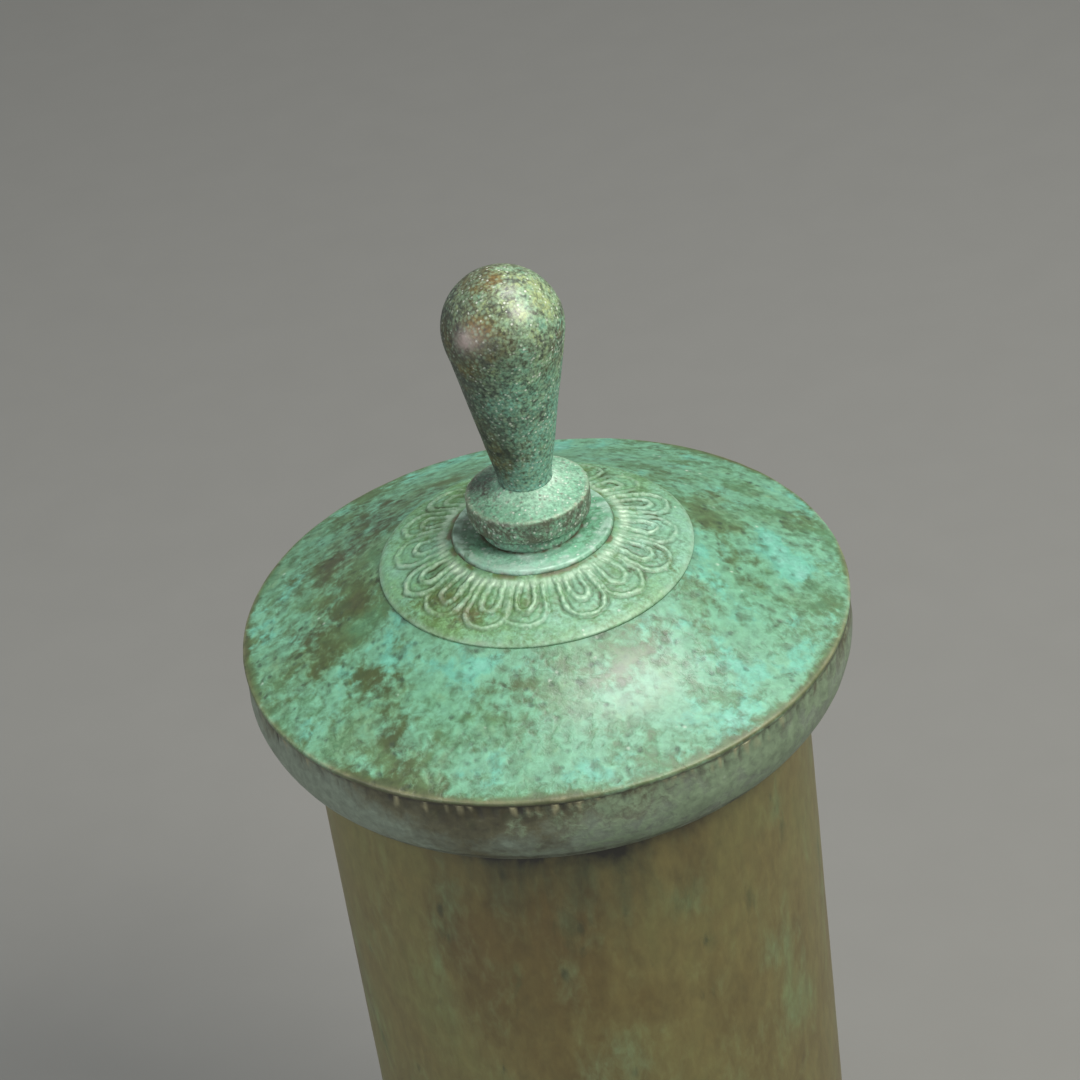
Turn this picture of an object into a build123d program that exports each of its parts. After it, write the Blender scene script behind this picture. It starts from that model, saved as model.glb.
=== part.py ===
"""Lidded bronze vessel: a straight tube on a ring foot, with a lift-off umbrella lid and a bud knob.

Millimetres, +Z up. The origin is the middle of the foot's resting face.
"""
import os
from math import asin, atan, cos, hypot, radians, sin, tan

from build123d import *

# Vessel body
body_radius = 37.5            # outside of the tube
body_wall = 2.2
mouth_height = 150.0          # table to the tube's mouth
mouth_round = 0.5             # both edges of the mouth
base_thickness = 2.5

# Foot ring
foot_height = 8.0
foot_spread = 2.5             # how far the resting edge stands out past the tube
foot_lip = 1.2                # thickness of the ring's upper edge, around the tube
foot_upright = 2.4            # plain upright part above the table
foot_ledge_height = 5.0       # ledge that carries the tube and the base plate
foot_ledge_reach = 1.6        # how far the ledge reaches in under the base plate
foot_round = 0.6

# Lid
lid_overhang = 7.5            # rim beyond the tube
lid_wall = 2.2
band_height = 15.1            # mouth to the rim
band_straight = 5.5           # upright part of the band below the rim
band_fullness = 0.44          # 0.55 gives a quarter ellipse, less is flatter
rim_round = 0.5
dome_rise = 9.6               # dome above the rim at the rosette's edge
dome_sag = 0.4                # how far the dome hangs below a straight cone
seat_slope = 18.0             # degrees, under the rosette
lip_height = 2.8              # face of the lid that holds the locating ring
hollow_corner_height = 6.4    # outer lower corner of the lid's hollow, above the mouth

# Locating ring under the lid
ring_depth = 10.0             # reach into the mouth
ring_wall = 1.8
ring_clearance = 0.3          # all round, in the tube
ring_round = 0.5

# Rosette plate
rosette_radius = 23.1
rosette_thickness = 0.8
rosette_round = 0.25
petal_count = 16
petal_relief = 0.35
petal_ridge = 0.7             # width of the raised lines
petal_share = 0.86            # of the pitch, for the outer loops
petal_border = 2.0            # plain border outside the tips
petal_gap = 0.4               # plain strip between the boss and the petals
petal_arch = 2.8              # length of the rounded tip
inner_loop_share = 0.46       # inner loop's width beside the outer loop's
inner_loop_setback = 3.0      # inner tip behind the outer tip

# Boss ring
boss_radius = 11.9
boss_height = 0.65
boss_taper = 0.35             # how much smaller the top is
boss_round = 0.2

# Collar under the knob
collar_foot_radius = 7.3
collar_foot_height = 1.9
collar_groove = 0.2
collar_rim_radius = 9.0
collar_rim_height = 6.3       # boss to the rim's upper edge
collar_rim_upright = 2.7
collar_rise = 1.95            # rim to the knob's seat
collar_cove_reach = 1.6       # hollow curve up to the stem, outside it
collar_cove_share = 0.35      # of the rise, where that curve begins to steepen
collar_round = 0.3

# Knob with its tenon
knob_height = 33.85           # seat to the top
knob_head_radius = 8.65
stem_radius = 3.95
stem_upright = 0.8            # plain part of the stem above the seat
stem_blend = 6.0
tenon_radius = 2.5
rivet_radius = 3.8
rivet_height = 1.5

# Washer inside the lid
washer_radius = 5.6
washer_thickness = 1.2

# Values that follow
body_bore = body_radius - body_wall
lid_radius = body_radius + lid_overhang
rim_height = mouth_height + band_height
hollow_radius = lid_radius - lid_wall
ring_radius = body_bore - ring_clearance
ring_bore = ring_radius - ring_wall
slope = tan(radians(seat_slope))
shoulder_height = rim_height + dome_rise
seat_height = shoulder_height + (rosette_radius - boss_radius) * slope
lid_drop = lid_wall / cos(radians(seat_slope))
plate_lift = rosette_thickness / cos(radians(seat_slope))
boss_base = seat_height + plate_lift
boss_top = boss_base + boss_height
knob_seat = boss_top + collar_rim_height + collar_rise
knob_top = knob_seat + knob_height
washer_top = seat_height - lid_drop
washer_base = washer_top - washer_thickness


def dome_height(radius):
    """Outer face of the lid between the rosette and the rim: a cone that sags a little."""
    share = (radius - rosette_radius) / (lid_radius - rosette_radius)
    return shoulder_height - dome_rise * share - 4 * dome_sag * share * (1 - share)


def near(sketch, point):
    """The sketch's corner nearest to a point."""
    return sketch.vertices().sort_by_distance(Vector(*point))[0]


os.makedirs("parts", exist_ok=True)

# Straight wall of the vessel
with BuildPart() as body_tube:
    with BuildSketch(Plane.XY.offset(foot_ledge_height)) as wall_ring:
        Circle(body_radius)
        Circle(body_bore, mode=Mode.SUBTRACT)
    extrude(amount=mouth_height - foot_ledge_height)
    fillet(body_tube.faces().sort_by(Axis.Z)[-1].edges(), mouth_round)
body_tube.part.label = "body_tube"
export_step(body_tube.part, "parts/body_tube.step")

# Bottom of the vessel, inside the tube on the foot's ledge
with BuildPart() as base_plate:
    with BuildSketch(Plane.XY.offset(foot_ledge_height)) as base_disc:
        Circle(body_bore)
    extrude(amount=base_thickness)
base_plate.part.label = "base_plate"
export_step(base_plate.part, "parts/base_plate.step")

# Foot with a ledge for the tube and the base plate
foot_bore = body_bore - foot_ledge_reach
foot_radius = body_radius + foot_spread
foot_top_radius = body_radius + foot_lip
with BuildPart() as foot_ring:
    with BuildSketch(Plane.XZ) as foot_profile:
        with BuildLine():
            Polyline(
                (foot_top_radius, foot_height),
                (body_radius, foot_height),
                (body_radius, foot_ledge_height),
                (foot_bore, foot_ledge_height),
                (foot_bore, 0),
                (foot_radius, 0),
                (foot_radius, foot_upright),
            )
            Bezier(
                (foot_radius, foot_upright),
                (foot_top_radius, foot_upright),
                (foot_top_radius, foot_height),
            )
        make_face()
        fillet(near(foot_profile, (foot_radius, 0)), foot_round)
        fillet(near(foot_profile, (foot_radius, foot_upright)), foot_round)
    revolve(axis=Axis.Z)
foot_ring.part.label = "foot_ring"
export_step(foot_ring.part, "parts/foot_ring.step")

# Lid: dome, rim and the band that curves under to the mouth
band_drop = band_height - band_straight
dome_middle = (rosette_radius + lid_radius) / 2
with BuildPart() as lid_shell:
    with BuildSketch(Plane.XZ) as lid_profile:
        with BuildLine():
            Polyline(
                (tenon_radius, seat_height),
                (boss_radius, seat_height),
                (rosette_radius, shoulder_height),
            )
            ThreePointArc(
                (rosette_radius, shoulder_height),
                (dome_middle, dome_height(dome_middle)),
                (lid_radius, rim_height),
            )
            Line((lid_radius, rim_height), (lid_radius, rim_height - band_straight))
            Bezier(
                (lid_radius, rim_height - band_straight),
                (lid_radius, rim_height - band_straight - band_fullness * band_drop),
                (body_radius + band_fullness * lid_overhang, mouth_height),
                (body_radius, mouth_height),
            )
            Polyline(
                (body_radius, mouth_height),
                (ring_radius, mouth_height),
                (ring_radius, mouth_height + lip_height),
                (hollow_radius, mouth_height + hollow_corner_height),
                (hollow_radius, dome_height(hollow_radius) - lid_drop),
            )
            ThreePointArc(
                (hollow_radius, dome_height(hollow_radius) - lid_drop),
                (dome_middle, dome_height(dome_middle) - lid_drop),
                (rosette_radius, shoulder_height - lid_drop),
            )
            Polyline(
                (rosette_radius, shoulder_height - lid_drop),
                (boss_radius, washer_top),
                (tenon_radius, washer_top),
                (tenon_radius, seat_height),
            )
        make_face()
        fillet(near(lid_profile, (lid_radius, rim_height)), rim_round)
        fillet(near(lid_profile, (hollow_radius, mouth_height + hollow_corner_height)), lid_wall)
        fillet(near(lid_profile, (hollow_radius, dome_height(hollow_radius) - lid_drop)), lid_wall)
    revolve(axis=Axis.Z)
lid_shell.part.label = "lid_shell"
export_step(lid_shell.part, "parts/lid_shell.step")

# Ring that drops into the mouth and keeps the lid centred
with BuildPart() as lid_locating_ring:
    with BuildSketch(Plane.XY.offset(mouth_height + lip_height)) as locating_section:
        Circle(ring_radius)
        Circle(ring_bore, mode=Mode.SUBTRACT)
    extrude(amount=-(lip_height + ring_depth))
    fillet(lid_locating_ring.faces().sort_by(Axis.Z)[0].edges(), ring_round)
lid_locating_ring.part.label = "lid_locating_ring"
export_step(lid_locating_ring.part, "parts/lid_locating_ring.step")

# Rosette plate that lies on the dome, with raised petal outlines
tilt = radians(seat_slope)
petal_foot = boss_radius + petal_gap
petal_length = (rosette_radius - petal_border - petal_foot) / cos(tilt)
loop_spread = tan(radians(180 / petal_count * petal_share))
petal_plane = Plane(
    origin=(petal_foot, 0, boss_base - (petal_foot - boss_radius) * slope),
    x_dir=(cos(tilt), 0, -sin(tilt)),
    z_dir=(sin(tilt), 0, cos(tilt)),
)


def petal_outline(spread, length, inset):
    """Closed outline of one petal along the plate's slope: radial sides and a rounded tip."""
    side = length - petal_arch
    foot_half = (petal_foot + inset * cos(tilt)) * spread - inset
    side_half = (petal_foot + side * cos(tilt)) * spread - inset
    Line((inset, -foot_half), (side, -side_half))
    ThreePointArc((side, -side_half), (length - inset, 0), (side, side_half))
    Line((side, side_half), (inset, foot_half))
    Line((inset, foot_half), (inset, -foot_half))


with BuildPart() as petal:
    with BuildSketch(petal_plane) as petal_lines:
        with BuildLine():
            petal_outline(loop_spread, petal_length, 0)
        make_face()
        with BuildLine():
            petal_outline(loop_spread, petal_length, petal_ridge)
        make_face(mode=Mode.SUBTRACT)
        with BuildLine():
            petal_outline(loop_spread * inner_loop_share, petal_length - inner_loop_setback, 0)
        make_face()
        with BuildLine():
            petal_outline(loop_spread * inner_loop_share, petal_length - inner_loop_setback, petal_ridge)
        make_face(mode=Mode.SUBTRACT)
    extrude(amount=petal_relief)
    extrude(petal_lines.sketch, amount=-rosette_thickness / 2)

with BuildPart() as rosette_plate:
    with BuildSketch(Plane.XZ) as plate_profile:
        with BuildLine():
            Polyline(
                (tenon_radius, seat_height),
                (boss_radius, seat_height),
                (rosette_radius, shoulder_height),
                (rosette_radius, shoulder_height + plate_lift),
                (boss_radius, boss_base),
                (tenon_radius, boss_base),
                close=True,
            )
        make_face()
        fillet(near(plate_profile, (rosette_radius, shoulder_height + plate_lift)), rosette_round)
    revolve(axis=Axis.Z)
    with PolarLocations(0, petal_count):
        add(petal.part)
rosette_plate.part.label = "rosette_plate"
export_step(rosette_plate.part, "parts/rosette_plate.step")

# Low step in the middle of the rosette
boss_top_radius = boss_radius - boss_taper
with BuildPart() as boss_ring:
    with BuildSketch(Plane.XZ) as boss_profile:
        with BuildLine():
            Polyline(
                (tenon_radius, boss_base),
                (boss_radius, boss_base),
                (boss_top_radius, boss_top),
                (tenon_radius, boss_top),
                close=True,
            )
        make_face()
        fillet(near(boss_profile, (boss_top_radius, boss_top)), boss_round)
    revolve(axis=Axis.Z)
boss_ring.part.label = "boss_ring"
export_step(boss_ring.part, "parts/boss_ring.step")

# Bowl-shaped collar on a narrower foot
groove_radius = collar_foot_radius - collar_groove
collar_waist = boss_top + collar_foot_height
collar_rim_top = boss_top + collar_rim_height
collar_rim_base = collar_rim_top - collar_rim_upright
with BuildPart() as knob_collar:
    with BuildSketch(Plane.XZ) as collar_profile:
        with BuildLine():
            Line((collar_rim_radius, collar_rim_base), (collar_rim_radius, collar_rim_top))
            Bezier(
                (collar_rim_radius, collar_rim_top),
                (stem_radius + collar_cove_reach, collar_rim_top + collar_cove_share * collar_rise),
                (stem_radius, knob_seat),
            )
            Polyline(
                (stem_radius, knob_seat),
                (tenon_radius, knob_seat),
                (tenon_radius, boss_top),
                (collar_foot_radius, boss_top),
                (groove_radius, collar_waist),
            )
            Bezier(
                (groove_radius, collar_waist),
                (collar_rim_radius, collar_waist),
                (collar_rim_radius, collar_rim_base),
            )
        make_face()
        fillet(near(collar_profile, (collar_rim_radius, collar_rim_top)), collar_round)
    revolve(axis=Axis.Z)
knob_collar.part.label = "knob_collar"
export_step(knob_collar.part, "parts/knob_collar.step")

# Bud knob: round head, long taper, tenon through the lid and a hammered head inside
head_middle = knob_top - knob_head_radius
stem_top = knob_seat + stem_upright
stem_reach = head_middle - stem_top
taper = asin(knob_head_radius / hypot(stem_radius, stem_reach)) - atan(stem_radius / stem_reach)
cheek_radius = knob_head_radius * cos(taper)
cheek_height = head_middle - knob_head_radius * sin(taper)
rivet_base = washer_base - rivet_height
brow_radius = knob_head_radius * sin(radians(45))
with BuildPart() as knob:
    with BuildSketch(Plane.XZ) as knob_profile:
        with BuildLine():
            ThreePointArc(
                (0, knob_top),
                (brow_radius, head_middle + brow_radius),
                (cheek_radius, cheek_height),
            )
            Polyline(
                (cheek_radius, cheek_height),
                (stem_radius, stem_top),
                (stem_radius, knob_seat),
                (tenon_radius, knob_seat),
                (tenon_radius, washer_base),
                (rivet_radius, washer_base),
            )
            Bezier(
                (rivet_radius, washer_base),
                (rivet_radius, rivet_base),
                (0, rivet_base),
            )
            Line((0, rivet_base), (0, knob_top))
        make_face()
        fillet(near(knob_profile, (stem_radius, stem_top)), stem_blend)
    revolve(axis=Axis.Z)
knob.part.label = "knob"
export_step(knob.part, "parts/knob.step")

# Washer under the hammered head
with BuildPart() as clench_washer:
    with BuildSketch(Plane.XY.offset(washer_base)) as washer_section:
        Circle(washer_radius)
        Circle(tenon_radius, mode=Mode.SUBTRACT)
    extrude(amount=washer_thickness)
clench_washer.part.label = "clench_washer"
export_step(clench_washer.part, "parts/clench_washer.step")
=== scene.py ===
"""Lidded bronze vessel: the packed CAD frame dressed with worn, corroded surfaces for a studio picture."""

import functools
import math
import random

import bpy
import numpy as np
from bpy.props import FloatProperty, FloatVectorProperty, IntProperty, PointerProperty
from bpy.types import Operator, Panel, PropertyGroup
from mathutils import Matrix, Vector


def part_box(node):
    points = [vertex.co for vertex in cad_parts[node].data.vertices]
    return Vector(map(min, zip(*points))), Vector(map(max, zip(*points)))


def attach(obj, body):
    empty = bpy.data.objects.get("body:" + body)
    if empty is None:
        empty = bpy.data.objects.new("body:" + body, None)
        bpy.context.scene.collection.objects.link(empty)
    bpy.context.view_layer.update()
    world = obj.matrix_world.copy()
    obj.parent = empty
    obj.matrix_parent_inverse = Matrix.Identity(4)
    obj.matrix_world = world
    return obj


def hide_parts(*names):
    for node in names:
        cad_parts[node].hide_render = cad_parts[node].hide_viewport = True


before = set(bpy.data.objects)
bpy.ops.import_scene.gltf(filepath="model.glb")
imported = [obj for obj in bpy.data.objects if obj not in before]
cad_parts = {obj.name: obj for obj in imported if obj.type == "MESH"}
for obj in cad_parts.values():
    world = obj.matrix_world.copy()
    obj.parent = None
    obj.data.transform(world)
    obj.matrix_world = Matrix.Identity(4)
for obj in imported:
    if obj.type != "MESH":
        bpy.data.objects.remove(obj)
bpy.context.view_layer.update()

bl_info = {
    "name": "Lidded bronze vessel",
    "version": (1, 0, 0),
    "blender": (4, 5, 0),
    "location": "View3D > Sidebar > Bronze",
    "description": "Builds the corroded bronze vessel with its umbrella lid, lotus rosette and bud knob",
    "category": "Add Mesh",
}

MM = 0.001
LID_LOW, LID_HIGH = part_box("lid_shell")
TUBE_LOW, TUBE_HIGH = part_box("body_tube")
_, FOOT_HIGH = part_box("foot_ring")
PLATE_LOW, PLATE_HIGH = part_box("rosette_plate")
BOSS_LOW, BOSS_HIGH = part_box("boss_ring")
COLLAR_LOW, COLLAR_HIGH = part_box("knob_collar")
KNOB_LOW, KNOB_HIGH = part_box("knob")
_, RING_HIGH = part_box("lid_locating_ring")
WASHER_LOW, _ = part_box("clench_washer")

# Segments round the axis
SEGMENTS = {
    "vessel_wall": 320, "vessel_foot": 320, "umbrella_lid": 640, "lotus_plate": 768, "boss_step": 300,
    "knob_bowl": 260, "bud_knob": 230,
}
CORNER_STEPS = 5
# Points closer than this are merged, and weights below the least are left out
MERGE_GAP = 2e-6
LEAST_WEIGHT = 0.002
# Waves in a random field, and what scales down their sum
MOTTLE_WAVES = 18
MOTTLE_FIT = 6
# Depth of the drops and dents under the lip
RUN_OFF = 0.22 * MM
# How far the edges of the dome's patches wander
RAGGED = 1.7 * MM

# Degrees by which the petals stand off their even places
PETAL_SHIFTS = (-6.5, -6.5, -6, -5.5, -5, -4.5, -4, -3.5, -3.3, -1.7, -5, -4.5, -9, -3.5, -4.2, -5)
CHASING_SEED = 16

# Patches on the wall: azimuth in degrees (the front is at 270), height and reach in millimetres, and amount
WALL_GREENS = (
    (292, 133.8, 4, 0.3), (320, 140, 3.5, 0.3), (316, 114.7, 5, 0.26), (324, 100, 6, 0.24), (274, 111, 5, 0.06),
    (20, 120, 14, 0.15), (120, 90, 16, 0.15), (300, 60, 14, 0.15), (200, 40, 14, 0.15),
)
WALL_BROWNS = (
    (262, 137.6, 7, 0.2), (282, 118, 5, 0.15), (240, 133, 6, 0.3), (256, 124, 13, 0.3), (218, 130, 20, -0.08),
    (150, 70, 26, 0.15),
)
# The same on the dome and the rosette, with the radius in place of the height
DOME_THIN = (
    (157, 30, 8, 0.22), (162, 33, 4, 0.2), (188, 33, 5, 0.25), (183, 25.5, 4, 0.3), (197, 34, 4, 0.2),
    (215, 31, 5, 0.2), (227, 32, 5, 0.2), (241, 43, 4, 0.3), (232, 39, 4, 0.14), (256, 28, 5, 0.17),
    (270, 30, 5, 0.1), (284, 27, 4.5, 0.17), (302, 27.5, 4.5, 0.3), (327, 28, 3.5, 0.3), (340, 38.5, 4, 0.12),
    (350, 29.5, 3.5, 0.32), (342, 31, 3, 0.25), (10, 26, 4.5, 0.36), (25, 30, 4, 0.28), (28, 39, 2.5, 0.25),
    (14, 38.5, 4, 0.22), (5, 30.5, 3, 0.25), (115, 30, 7, 0.15), (70, 36, 6, 0.12), (180, 36, 16, 0.08),
    (137, 31, 8, 0.2), (133, 41, 5, 0.16), (262, 30, 6, 0.1), (15, 28, 5, 0.08), (45, 29, 6, 0.12),
    (287, 40.5, 6.5, 0.08), (225, 40, 7, 0.12), (195, 41, 6, 0.1),
)
DOME_THICK = (
    (168, 41, 6, 0.12), (190, 38.5, 6, 0.12), (210, 38, 5, 0.12), (214, 28, 4, 0.13), (228, 28.5, 4, 0.17),
    (242, 28, 4, 0.15), (270, 41, 7, 0.1), (300, 40, 8, 0.1), (325, 39, 7, 0.12), (346, 26, 4.5, 0.3),
    (358, 35, 4.5, 0.35), (350, 37, 3, 0.2), (28, 42, 4, 0.2), (75, 40, 8, 0.14), (100, 40, 8, 0.1),
)
OLIVE_PETALS = (
    (218, 18, 3, 0.3), (236, 19, 2.5, 0.3), (205, 22, 4, 0.15), (228, 22.5, 4, 0.15), (330, 20, 3.5, 0.25),
    (262, 16, 2, 0.2), (345, 20, 3, 0.15), (60, 19, 4, 0.2), (120, 17, 4, 0.2), (160, 17, 4, 0.15),
)

# Painted layers that the materials read
LAYERS = ("crust", "bare", "blue", "under", "wear", "grime", "polish")
# How far blotches, mottles and grains break up the crust
CLOUD_SHARES = (0.75, 0.85, 0.55)
# Edge, strength and relief of the spots, the pits and the salt specks
CELL_LOOKS = ((0.6, 0.6, -0.8), (0.5, 0.6, -0.8), (0.46, 0.8, 0.8))
# Shift of the second pattern
ASIDE = (0.31, 0.17, 0.23)
# Share of roughness and strength of bump, untouched and handled
HANDLED_ROUGHNESS = (1.0, 0.65)
HANDLED_BUMP = (0.6, 0.12)
# The index of copper carbonate lies between 1.66 and 1.9
CARBONATE_INDEX = 1.66
# A mix of colours takes them in sockets 6 and 7 and gives its third output
COLOURS = {"data_type": "RGBA", "out": 2}
TIMES = {"operation": "MULTIPLY"}
TIMES_PLUS = {"operation": "MULTIPLY_ADD"}

FLOOR_SIZE = 8.0
SENSOR_WIDTH = 36
CLIP_START = 0.01
# Height of the lights' aim above the mouth
AIM = 0.02
# Name, power setting, way from the aim, distance, width, height and tint of the lights
LIGHTS = (
    ("key light", "key_power", (0.55, -0.42, 0.72), 0.9, 0.36, 0.32, "#FFFBF4"),
    ("top light", "top_power", (0.28, 0.09, 0.956), 0.9, 0.12, 0.36, "#FDFDFD"),
    ("fill light", "fill_power", (-0.75, -0.62, 0.22), 1.2, 1.2, 0.55, "#F7F8FF"),
)


def linear(code):
    """sRGB hex colour to the linear values that the shader wants."""
    parts = [int(code[k : k + 2], 16) / 255 for k in (1, 3, 5)]
    return [p / 12.92 if p <= 0.04045 else ((p + 0.055) / 1.055) ** 2.4 for p in parts] + [1.0]


def colour(name, words, code):
    """A colour that a user may change."""
    return FloatVectorProperty(
        name=name, description=words, default=linear(code), size=4, min=0.0, max=1.0, subtype="COLOR"
    )


def size(name, words, millimetres):
    """A length that a user may change, in metres."""
    return FloatProperty(
        name=name, description=words, default=millimetres * MM, min=0.0, precision=5,
        subtype="DISTANCE", unit="LENGTH",
    )


def angle(name, words, degrees):
    """An angle that a user may change."""
    return FloatProperty(
        name=name, description=words, default=math.radians(degrees), subtype="ANGLE", unit="ROTATION"
    )


def power(name, words, watts):
    """A light's power that a user may change."""
    return FloatProperty(name=name, description=words, default=watts, unit="POWER")


class BodySettings(PropertyGroup):
    """Tube and foot."""

    wall: size("Wall", "Thickness of the tube", 2.2)
    mouth_round: size("Mouth rounding", "Worn edges of the mouth", 0.5)
    ledge: size("Ledge height", "Foot's ledge under the tube", 5.0)
    ledge_reach: size("Ledge reach", "Ledge inside the tube's bore", 1.6)
    foot_lip: size("Foot lip", "Thickness of the foot's upper edge", 1.2)
    foot_upright: size("Foot upright", "Plain part above the table", 2.4)
    film: colour("Film", "Olive brown film on the wall", "#6E663A")
    crust: colour("Spots", "Faint green spots on the wall", "#6E8056")
    oxide: colour("Inner oxide", "Dull oxide on the inner faces", "#4C4129")


class LidSettings(PropertyGroup):
    """Umbrella lid."""

    band_height: size("Band height", "From the mouth to the rim", 15.1)
    band_straight: size("Upright band", "Upright part below the rim", 5.5)
    band_fullness: FloatProperty(
        name="Band fullness", description="How round the band curves under", default=0.44, min=0.1, max=0.9
    )
    dome_rise: size("Dome rise", "Dome above the rim at the rosette", 9.6)
    dome_sag: size("Dome sag", "Dome below a straight cone", 0.4)
    rim_round: size("Rim rounding", "Worn edge of the rim", 0.3)
    lip_height: size("Rim lip", "Narrow lip round the rim", 0.7)
    lip_step: size("Lip step", "Reach of the lip over the band", 0.2)
    wall: size("Wall", "Thickness of the lid", 2.2)
    seat: size("Ring seat", "Face that holds the locating ring", 2.8)
    hollow_corner: size("Hollow corner", "Lower corner of the hollow above the mouth", 6.4)
    film: colour("Film", "Olive film where the crust is thin", "#465630")
    crust: colour("Crust", "Green crust on the dome", "#639878")
    band: colour("Band", "Dry film on the band under the rim", "#53533C")
    # Also the colour of the painted glints on the drops under the lip
    rubbed: colour("Rubbed rim", "Metal that shows along the rim", "#A3A07C")


class RosetteSettings(PropertyGroup):
    """Lotus plate and the boss on it."""

    slope: angle("Slope", "Fall of the plate", 18)
    thickness: size("Thickness", "Thickness of the plate", 0.8)
    petals: IntProperty(name="Petals", description="Petals round the boss", default=16, min=6, max=40)
    relief: size("Relief", "Height of the raised lines", 0.34)
    line: size("Line width", "Width of the raised lines", 0.68)
    border: size("Border", "Plain border outside the tips", 2.4)
    rolled: size("Rolled edge", "Reach of the edge that thins out", 1.2)
    boss_taper: size("Boss taper", "Boss narrower at its top", 0.35)
    film: colour("Film", "Yellow-green film in the hollows", "#587C46")
    crust: colour("Crust", "Green crust on the plate", "#6E9F7C")
    # Also the colour of the painted highlight along the plate's edge
    rubbed: colour("Rubbed lines", "Pale tops of the raised lines", "#A8C4A8")
    fresh: colour("Boss crust", "Fresh crust on the boss", "#72AE8C")


class KnobSettings(PropertyGroup):
    """Knob, its tenon and the collar under it."""

    head: size("Head radius", "Radius of the round head", KNOB_HIGH[0] / MM)
    stem: size("Stem radius", "Radius at the collar", 3.95)
    stem_upright: size("Stem upright", "Plain part above the collar", 0.8)
    tenon: size("Tenon radius", "Radius through the lid", 2.5)
    rivet: size("Rivet radius", "Hammered head inside the lid", 3.8)
    collar_foot: size("Collar foot", "Radius of the collar's foot", 7.3)
    collar_foot_height: size("Collar foot height", "Height of the collar's foot", 1.9)
    collar_groove: size("Collar groove", "Depth of the groove over the foot", 0.2)
    collar_rim_height: size("Collar rim height", "From the boss to the collar's upper edge", 6.3)
    collar_upright: size("Collar upright", "Upright part of the collar's rim", 2.7)
    cove: size("Cove", "Hollow curve up to the stem", 1.6)
    film: colour("Knob film", "Grey-green film on the knob", "#444E42")
    crust: colour("Knob crust", "Teal crust low on the knob", "#66947C")
    salt: colour("Collar salts", "Whitish salts on the collar", "#72A486")
    rubbed: colour("Rubbed knob", "Lilac brown where fingers rub", "#A2948C")


class StageSettings(PropertyGroup):
    """Camera and light."""

    camera_place: FloatVectorProperty(
        name="Camera place", description="Where the camera stands", default=(0.0008, -0.3597, 0.4234),
        subtype="TRANSLATION", unit="LENGTH",
    )
    camera_pitch: angle("Camera pitch", "Below the horizon", 34.43)
    camera_roll: angle("Camera roll", "About the line of sight", -8.35)
    lens: FloatProperty(
        name="Lens", description="Focal length on a 36 mm wide sensor", default=100.0, subtype="DISTANCE_CAMERA"
    )
    floor: colour("Floor", "Matt paper under the vessel", "#868682")
    air: colour("Air", "Even light from all round", "#C9CBCB")
    air_strength: FloatProperty(name="Air strength", description="Strength of the even light", default=0.52)
    key_power: power("Key light", "Soft light from the front right", 6.8)
    top_power: power("Top light", "Soft light overhead", 4.5)
    fill_power: power("Fill light", "Wide light from the left", 5.2)


SETTINGS = {
    "vessel_body": BodySettings,
    "vessel_lid": LidSettings,
    "vessel_rosette": RosetteSettings,
    "vessel_knob": KnobSettings,
    "vessel_stage": StageSettings,
}


# Outlines, as points (radius, height) in metres


def bent(*points, steps):
    """Points on the Bezier curve with these control points, without its first."""
    found = []
    for k in range(1, steps + 1):
        row = [Vector(p) for p in points]
        while len(row) > 1:
            row = [a.lerp(b, k / steps) for a, b in zip(row, row[1:])]
        found.append(tuple(row[0]))
    return found


def rounded(before, corner, after, radius):
    """A corner eased by about this radius."""
    corner = Vector(corner)
    start = corner + (Vector(before) - corner).normalized() * radius
    end = corner + (Vector(after) - corner).normalized() * radius
    return [tuple(start)] + bent(start, corner, end, steps=CORNER_STEPS)


def spaced(points, gap):
    """The same outline with no step longer than the gap."""
    found = [points[0]]
    for a, b in zip(points, points[1:]):
        a, b = Vector(a), Vector(b)
        parts = max(1, math.ceil((b - a).length / gap))
        found += [tuple(a.lerp(b, k / parts)) for k in range(1, parts + 1)]
    return found


# Modelling


def located(piece):
    """The piece's points, with their distance from the axis, height and turn about it."""
    flat = np.empty(len(piece.data.vertices) * 3)
    piece.data.vertices.foreach_get("co", flat)
    place = flat.reshape(-1, 3)
    x, y, tall = place.T
    return place, np.hypot(x, y), tall, np.arctan2(y, x)


def turned(name, outline):
    """Draws the outline by extruding one point and turns it round the axis. Gives the piece and its points."""
    bpy.ops.object.select_all(action="DESELECT")
    bpy.ops.mesh.primitive_plane_add(size=MM)
    piece = bpy.context.object
    piece.name = piece.data.name = name
    bpy.ops.object.mode_set(mode="EDIT")
    bpy.ops.mesh.select_all(action="SELECT")
    bpy.ops.mesh.merge(type="CENTER")
    bpy.ops.transform.translate(value=(outline[0][0], 0, outline[0][1]))
    for a, b in zip(outline, outline[1:]):
        bpy.ops.mesh.extrude_vertices_move(TRANSFORM_OT_translate={"value": (b[0] - a[0], 0, b[1] - a[1])})
    bpy.ops.object.mode_set(mode="OBJECT")
    lathe = piece.modifiers.new("lathe", "SCREW")
    lathe.steps = lathe.render_steps = SEGMENTS[name]
    bpy.ops.object.modifier_apply(modifier=lathe.name)
    bpy.ops.object.mode_set(mode="EDIT")
    bpy.ops.mesh.select_all(action="SELECT")
    bpy.ops.mesh.remove_doubles(threshold=MERGE_GAP)
    bpy.ops.mesh.normals_make_consistent(inside=False)
    bpy.ops.object.mode_set(mode="OBJECT")
    bpy.ops.object.shade_smooth()
    return piece, *located(piece)


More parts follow.
